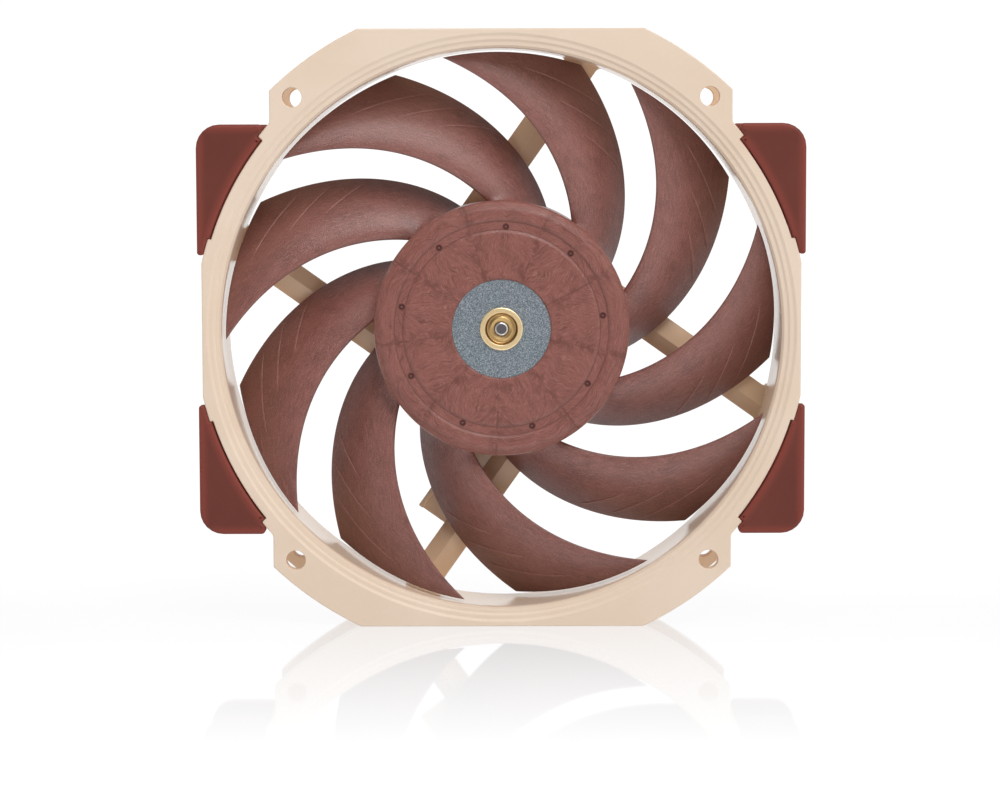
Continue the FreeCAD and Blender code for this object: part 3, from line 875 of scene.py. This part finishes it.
def make_strut():
    """One strut between the motor base and the duct, with its foot flared into the duct."""
    stations = 40
    rings = []
    for station in range(stations + 1):
        share = 1 - (1 - station / stations) ** 2
        row = []
        for side in (-1, 0, 1):
            across = side * strut_half_width if side else strut_ridge
            flare = 0.0
            for _ in range(3):
                offset = strut_offset + across + side * flare
                start = math.sqrt((base_radius - 1.2) ** 2 - offset ** 2)
                end = math.sqrt((duct_radius + 1.4) ** 2 - offset ** 2)
                along = start + (end - start) * share
                gap = duct_radius - math.hypot(along, offset)
                rest = min(strut_fillet, max(0.0, strut_fillet - gap))
                flare = strut_fillet - math.sqrt(strut_fillet ** 2 - rest ** 2)
            row.append((along, across + side * flare))
        ring = [strut_point(along, across, strut_depth(across)) for along, across in row]
        ring += [strut_point(*row[-1], strut_back), strut_point(*row[0], strut_back)]
        rings.append(ring)
    return tube("strut", rings, sharp=12.0)


def make_tray():
    """The channel beside the lower left strut, where the lead would lie."""
    inner, outer = -strut_half_width + 0.8, -strut_half_width - tray_width
    lip, back = strut_front + 1.0, strut_back - 0.08
    wall, floor = outer + tray_wall, back - tray_floor
    outline = [(inner, back), (outer, back), (outer, lip), (wall, lip), (wall, floor), (inner, floor)]
    start, end = [], []
    for across, depth in outline:
        along = math.sqrt((base_radius - 1.0) ** 2 - (strut_offset + across) ** 2)
        start.append(strut_point(along, across, depth))
        end.append(strut_point(tray_reach, across, depth))
    mesh = tube("tray", [start, end])
    mesh.transform(Matrix.Rotation(math.pi, 4, "Y"))
    return mesh


def make_motor_base():
    """The cup behind the hub, with the board's ledge, the bearing boss and the badge's recess."""
    floor = half_depth - base_floor
    corners = [
        (0, boss_bore_end, 0), (boss_bore, boss_bore_end, 0), (boss_bore, boss_front, 0.15),
        (boss_radius, boss_front, 0.3), (boss_radius, floor, 0.4), (ledge_radius, floor, 0.3),
        (ledge_radius, ledge_depth, 0.15), (base_bore, ledge_depth, 0.2), (base_bore, base_front, 0.3),
        (base_radius, base_front, 0.5), (base_radius, half_depth, 0.6),
        (badge_recess_radius, half_depth, 0.2), (badge_recess_radius, badge_low.y, 0.1),
        (0, badge_low.y, 0),
    ]
    return turned("motor_base", corners, closed=False)


def cut_notch(piece):
    """Opens the base's wall beside the tray, where the lead leaves it."""
    middle = -strut_half_width - tray_width / 2
    places = [strut_point(along, middle + across, depth) for along in notch_reach
              for across in (-notch_half_width, notch_half_width) for depth in notch_depths]
    work = bmesh.new()
    bmesh.ops.convex_hull(work, input=[work.verts.new(place * MM) for place in places])
    tool_mesh = finished("notch_tool", work)
    tool_mesh.transform(Matrix.Rotation(math.pi, 4, "Y"))
    cut(piece, show("notch_tool", tool_mesh))


beige = finishes["frame_plastic"]
shell = show("frame_shell", join_meshes("frame_shell", make_flanges() + [make_duct()]), beige)
strut_pattern = bevelled("strut_pattern", make_strut(), 0.25, beige, 2)
struts = repeated("struts", take_mesh(strut_pattern), 4, beige)
tray = bevelled("lead_tray", make_tray(), 0.2, beige)
motor_base = show("motor_base", make_motor_base(), beige)
cut_notch(motor_base)
for piece in (shell, struts, tray, motor_base):
    settle(piece, "frame", "frame")


# ---------- pads

def pad_outline():
    """The upper right pad, anticlockwise: wide at its top, hollowed along the flange."""
    side, top, tip = pad_high.x, pad_high.z, pad_low.z
    low, high = recess_angles
    touch, end = flange_radius + pad_fit, shoulder_radius + pad_fit
    hollow = recess_radius + pad_hollow_gap
    tip_angle = math.degrees(math.asin(tip / touch))
    inner_angle = math.degrees(math.acos(pad_inner_end / end))
    corners = [(side, tip, 0.68), (side, top, 5.5), (pad_inner_end, top, 1.0),
               corner(end, inner_angle, 0.3), corner(end, high, 0.2), corner(hollow, high, 0.2)]
    corners += arc(hollow, high - 0.5, low + 0.5, 40)
    corners += [corner(hollow, low, 0.2), corner(touch, low, 0.2)]
    corners += arc(touch, low - 0.4, tip_angle + 0.7, 4)
    corners.append(corner(touch, tip_angle, 0.6))
    return rounded(corners, arc_steps=6, support=0.03)


def make_pad():
    """One pad with the tongue that plugs into the flange."""
    body = plate("pad", [pad_outline()], [0.8], pad_low.y, pad_high.y, steps=5)
    middle = (pad_high.y - half_depth) / 2
    (start, end), (inner, outer) = tongue_angles, tongue_radii
    outline = arc(outer, start, end, 24) + arc(inner, end, start, 24)
    loop = [(x, z) for x, z, _ in outline]
    tongue = plate("tongue", [loop], [0.1], middle - tongue_half_thickness,
                   middle + tongue_half_thickness, steps=1)
    return join_meshes("pad", [body, tongue])


pad_mesh = make_pad()
for deep, y in (("front", 1), ("rear", -1)):
    for level, z in (("upper", 1), ("lower", -1)):
        for side, x in (("right", 1), ("left", -1)):
            node = f"pad_{deep}_{level}_{side}"
            pad = show(f"rubber_{node}", mirrored(pad_mesh, x, y, z), finishes["pad_rubber"])
            settle(pad, "frame", node)


# ---------- impeller

section_curves = [np.polyfit(blade_sections[:, 0], blade_sections[:, column], 4)
                  for column in (1, 2, 3, 4)]


def blade_point(radius, share, side, lift=0.0):
    """A point on a blade, share 0 at the leading edge and 1 at the trailing one, side -1 in front."""
    lead, trail, lead_depth, trail_depth = (np.polyval(curve, radius) for curve in section_curves)
    span = (radius - blade_root_radius) / (blade_tip_radius - blade_root_radius)
    root_flare = 1.6 * math.exp(-(radius - hub_radius) / 0.7) * (radius > hub_radius - 0.01)
    thickness = blade_root_thickness + (blade_tip_thickness - blade_root_thickness) * span + root_flare
    width = math.radians(trail - lead) * radius
    rise = trail_depth - lead_depth
    along = width * share
    depth = lead_depth + rise * share - 4 * blade_camber * share * (1 - share)
    climb = rise - 4 * blade_camber * (1 - 2 * share)
    length = math.hypot(width, climb)
    edge = blade_edge_thickness
    body = edge + (thickness - edge) * math.sin(math.pi * share ** 0.65)
    ends = math.sqrt(max(0.0, 1 - (1 - min(1.0, share / 0.012)) ** 2))
    ends *= math.sqrt(max(0.0, 1 - (1 - min(1.0, (1 - share) / 0.010)) ** 2))
    offset = side * (body * ends / 2 + lift)
    return polar(radius, lead + math.degrees((along + offset * climb / length) / radius),
                 depth - offset * width / length)


def make_blade():
    """One blade: a closed ring of points at each radius, from inside the hub's wall to the tip."""
    stations, rows = 44, 60
    shares = [(1 - math.cos(math.pi * i / stations)) / 2 for i in range(stations + 1)]
    radii = [hub_radius - 1.0, hub_radius - 0.4]
    radii += [hub_radius + 3.0 * (i / 10) ** 1.5 for i in range(10)]
    radii += list(np.linspace(hub_radius + 3.0, blade_tip_radius - 0.4, rows))
    radii += [blade_tip_radius - 0.12, blade_tip_radius]
    points, size = [], 2 * stations
    for row, radius in enumerate(radii):
        shrink = -0.12 if row == len(radii) - 1 else 0.0
        points += [blade_point(radius, share, -1, shrink) for share in shares[:-1]]
        points += [blade_point(radius, share, 1, shrink) for share in shares[:0:-1]]
    faces = []
    for row in range(len(radii) - 1):
        faces += between(row * size, (row + 1) * size, size)
    for row in (0, len(radii) - 1):
        low = row * size
        for i in range(stations):
            ring = [low + i, low + i + 1, low + (size - i - 1) % size, low + (size - i) % size]
            faces.append(tuple(dict.fromkeys(ring)))
    return store("blade", points, [face for face in faces if len(face) > 2], sharp=50.0)


def make_ridge(start, end, reach):
    """A fine step on a blade's front skin: steep towards the hub, gentle beyond, with tapered ends."""
    steps = 40
    path = []
    for step in range(steps + 1):
        share = step / steps
        chord = ridge_start_share + (reach - ridge_start_share) * share
        path.append((start + (end - start) * share, 1 - chord))
    rings = []
    for step, (radius, share) in enumerate(path):
        taper = min(1.0, 6 * step / steps, 6 * (1 - step / steps)) + 0.02
        here = blade_point(radius, share, -1)
        out = (blade_point(radius, share, -1, 0.1) - here).normalized()
        ahead = path[min(step + 1, steps)]
        behind = path[max(step - 1, 0)]
        forward = (blade_point(*ahead, -1) - blade_point(*behind, -1)).normalized()
        across = forward.cross(out).normalized()
        rings.append([
            here + across * sideways * ridge_half_width * taper + out * up * ridge_height * taper
            for sideways, up in ridge_section])
    return tube("ridge", rings, sharp=80.0)


def make_hub():
    """The moulded hub: a cup with a window, a sunk band and a rounded rim."""
    front, skin = hub_front, hub_front + hub_skin
    inner, outer = band_radii
    sunk, bore = front + band_depth, hub_radius - hub_wall
    corners = [
        (hub_window, front + 0.30, 0.0), (hub_window + 0.35, front, 0.12),
        (inner - 0.35, front, 1.1), (inner + 0.30, sunk, 0.1), (outer - 0.25, sunk, 0.08),
        (outer + 0.32, front, 1.0), (hub_shoulder, front, 2.0), (hub_radius, front + 1.5, 1.4),
        (hub_radius, hub_back, 0.4), (bore, hub_back, 0.3), (bore, skin, 0.6), (hub_window, skin, 0.15),
    ]
    return turned("hub", corners, arc_steps=7)


def cut_gates(piece):
    """Sinks the nine gate marks into the hub's band."""
    length = 1.2
    work = bmesh.new()
    bmesh.ops.create_cone(work, cap_ends=True, segments=24, radius1=gate_radius * 0.8 * MM,
                          radius2=gate_radius * 1.1 * MM, depth=length * MM)
    tool_mesh = finished("gate_tool", work)
    place = polar(gate_circle, gate_first_angle, hub_front + band_depth - length / 2 + gate_depth)
    tool_mesh.transform(Matrix.Translation(place * MM) @ Matrix.Rotation(math.pi / 2, 4, "X"))
    cut(piece, repeated("gate_tool", tool_mesh, blade_count, piece.data.materials[0]))


def make_gate_stub():
    """The small broken-off gate left in each mark."""
    top = hub_front + band_depth + 0.06
    corners = [(0, top, 0), (0.26, top, 0.08), (0.32, top + 0.5, 0), (0, top + 0.5, 0)]
    mesh = turned("gate_stub", corners, 16, closed=False, arc_steps=3, support=0.01)
    mesh.transform(Matrix.Translation(polar(gate_circle, gate_first_angle) * MM))
    return mesh


hub = show("hub", make_hub(), finishes["hub_plastic"])
cut_gates(hub)
gate_stubs = repeated("gate_stubs", make_gate_stub(), blade_count, finishes["hub_plastic"])
blades = repeated("blades", make_blade(), blade_count, finishes["blade_plastic"])
ridge_pattern = join_meshes("ridge_pattern", [make_ridge(*ridge) for ridge in blade_ridges])
ridges = repeated("blade_ridges", ridge_pattern, blade_count, finishes["ridge_plastic_painted_highlight"])
for piece in (hub, gate_stubs, blades, ridges):
    settle(piece, "rotor", "impeller")


# ---------- rotor centre and badge

def make_rotor_cup():
    """The drawn steel cup, whose raised disc fills the hub's window."""
    front, back, rim, disc, wall = cup_low.y, cup_high.y, cup_high.x, cup_disc_radius, cup_wall
    step = front + cup_disc_height
    corners = [
        (cup_bore, front, 0.05), (disc, front, 0.04), (disc, step, 0.2), (rim, step, 0.6),
        (rim, back, 0.2), (rim - wall, back, 0.2), (rim - wall, step + wall, 0.3),
        (disc - wall, step + wall, 0.2), (disc - wall, front + wall, 0.2),
        (cup_bore, front + wall, 0.05),
    ]
    return turned("rotor_cup", corners)


def make_bush():
    """The brass bush: a flat rim round a dished face that rises a little towards the shaft."""
    front, back, rim = bush_low.y, bush_high.y, bush_high.x
    rim_back = cup_low.y - 0.02
    corners = [
        (bush_mouth, front + 0.95, 0.08), (2.55, front + 0.72, 0.25), (3.30, front + 1.02, 0.2),
        (3.78, front + 0.10, 0.1), (3.92, front, 0.05), (4.80, front, 0.1), (rim, front + 0.12, 0.05),
        (rim, rim_back, 0.02), (bush_neck, rim_back, 0.02), (bush_neck, back, 0.2),
        (bush_bore, back, 0.1), (bush_bore, front + 1.5, 0.05), (bush_mouth, front + 1.4, 0.05),
    ]
    return turned("hub_bush", corners, 192, support=0.02)


def make_shaft():
    """The shaft with its bright front chamfer and the clip's groove near its end."""
    radius, front, back = shaft_high.x, shaft_low.y, shaft_high.y
    end, groove, (groove_front, groove_back) = shaft_end_radius, clip_groove_radius, clip_groove
    corners = [
        (0, front + 0.10, 0), (end, front + 0.10, 0.02), (end + 0.02, front, 0.02),
        (end + 0.08, front, 0.04), (radius, front + 0.16, 0.03), (radius, groove_front, 0.03),
        (groove, groove_front, 0.03), (groove, groove_back, 0.03), (radius, groove_back, 0.03),
        (radius, back - 0.3, 0.06), (1.2, back, 0.06), (0, back, 0),
    ]
    return turned("shaft", corners, 96, closed=False, support=0.02)


def make_badge():
    """The plain foil disc, with one shallow pressed ring near its edge."""
    radius, front, back = badge_high.x, badge_low.y + 0.02, badge_high.y
    pressed = back - 0.12
    corners = [
        (0, front, 0), (radius, front, 0.05), (radius, back, 0.12), (radius - 1.6, back, 0.05),
        (radius - 1.9, pressed, 0.05), (radius - 2.4, pressed, 0.05), (radius - 2.7, back, 0.05),
        (0, back, 0),
    ]
    return turned("rear_badge", corners, closed=False, support=0.02)


centre_pieces = [
    ("steel_cup", make_rotor_cup(), "zinc_steel", "rotor", "rotor_cup"),
    ("brass_bush", make_bush(), "brass", "rotor", "hub_bush"),
    ("spindle", make_shaft(), "shaft_steel", "rotor", "shaft"),
    ("foil_badge", make_badge(), "foil", "frame", "rear_badge"),
]
for name, mesh, slot, body, node in centre_pieces:
    settle(show(name, mesh, finishes[slot]), body, node)


# ---------- design nodes that stay

slots = {row["node"]: row["material_slot"] for row in frame["record"]["subparts"]}
replaced = {"frame", "impeller", "rotor_cup", "hub_bush", "shaft", "rear_badge"}
for node, piece in frame["nodes"].items():
    if node not in replaced and not node.startswith("pad_"):
        piece.data.materials.clear()
        piece.data.materials.append(finishes[slots[node]])


# ---------- studio

# How bright the room is, from straight in front of the fan (0) to straight behind it (1)
room_light = [(0.0, 0.0), (0.08, 0.0), (0.20, 0.08), (0.33, 1.12), (0.48, 0.60), (0.62, 0.50),
              (0.90, 0.45), (0.97, 0.60), (0.985, 1.06), (1.0, 1.06)]
mirror_share = 0.36
# How far from the fan's middle the table starts and stops to fade as a mirror, in metres
mirror_fade = (0.015, 0.175)
mirror_tone = (0.80, 0.80, 0.83, 1)
table_tone = (0.07, 0.07, 0.07, 1)
table_glow = 1.0
# Name, place in metres, power in watts and side in metres
softboxes = [("key", (0.50, -1.55, 1.90), 36.0, 1.3), ("side", (2.0, -1.18, 0.93), 6.5, 1.2)]
camera_lens = 106.45
camera_place = (0.0038, -0.7019, 0.0458)
# The camera's tilt, pan and roll from a level view along the spin axis, in degrees
camera_turns = (-5.157, 0.347, -0.171)


def make_floor():
    """A white table under the fan, that mirrors it a little and less further away."""
    floor = show("floor", bpy.data.meshes.new("floor"))
    level, reach = frame_low.z * MM, 4.0
    floor.data.from_pydata([(-reach, -reach, level), (reach, -reach, level), (reach, reach, level),
                            (-reach, reach, level)], [], [(0, 1, 2, 3)])
    material = bpy.data.materials.new("table_white")
    material.use_nodes = True
    table = Tree(material.node_tree)
    place = table.node("ShaderNodeTexCoord", out="Object")
    share = table.node("ShaderNodeMapRange", values={
        "Value": abs(table.split(place, "Y")),
        "From Min": mirror_fade[0], "From Max": mirror_fade[1], "To Min": mirror_share, "To Max": 0.0})
    matt = table.node("ShaderNodeBsdfDiffuse", values={"Color": table_tone})
    glow = table.node("ShaderNodeEmission", values={"Strength": table_glow})
    white = table.node("ShaderNodeAddShader", values={0: matt, 1: glow})
    mirror = table.node("ShaderNodeBsdfGlossy", values={"Color": mirror_tone, "Roughness": 0.04})
    surface = table.node("ShaderNodeMixShader", values={0: share, 1: white, 2: mirror})
    table.link(surface, material.node_tree.nodes["Material Output"].inputs["Surface"])
    floor.data.materials.append(material)
    floor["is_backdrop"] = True


def make_room():
    """A pale room: a bright ring in front of the fan, dim sides and a white wall straight behind it."""
    room = bpy.data.worlds.new("room")
    room.use_nodes = True
    ground = room.node_tree.nodes["Background"]
    ground.inputs["Color"].default_value = (1, 1, 1, 1)
    air = Tree(room.node_tree)
    direction = air.node("ShaderNodeTexCoord", out="Generated")
    behind = air.split(direction, "Y") * 0.5 + 0.5
    strength = air.node("ShaderNodeFloatCurve", values={"Value": behind})
    mapping = strength.socket.node.mapping
    mapping.use_clip = False
    curve = mapping.curves[0]
    curve.points[0].location = room_light[0]
    curve.points[1].location = room_light[-1]
    for place, level in room_light[1:-1]:
        curve.points.new(place, level)
    for point in curve.points:
        point.handle_type = "VECTOR"
    mapping.update()
    air.link(strength, ground.inputs["Strength"])
    bpy.context.scene.world = room


def add_softbox(name, place, power, side):
    """A square light that faces the fan."""
    light = bpy.data.lights.new(name, "AREA")
    light.shape = "SQUARE"
    light.size = side
    light.energy = power
    lamp = bpy.data.objects.new(name, light)
    bpy.context.scene.collection.objects.link(lamp)
    lamp.location = place
    lamp.rotation_mode = "QUATERNION"
    lamp.rotation_quaternion = (-Vector(place)).to_track_quat("-Z", "Y")


def add_camera():
    """A long lens a little above the fan's centre, tilted down."""
    camera = bpy.data.objects.new("camera", bpy.data.cameras.new("camera"))
    bpy.context.scene.collection.objects.link(camera)
    camera.data.lens = camera_lens
    camera.data.sensor_width = 36.0
    tilt, pan, roll = (math.radians(angle) for angle in camera_turns)
    turn = (Matrix.Rotation(pan, 4, "Z") @ Matrix.Rotation(math.pi / 2 + tilt, 4, "X")
            @ Matrix.Rotation(roll, 4, "Z"))
    camera.matrix_world = Matrix.Translation(camera_place) @ turn
    bpy.context.scene.camera = camera


make_floor()
make_room()
for softbox in softboxes:
    add_softbox(*softbox)
add_camera()
bpy.context.scene.view_settings.view_transform = "Standard"

low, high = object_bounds()
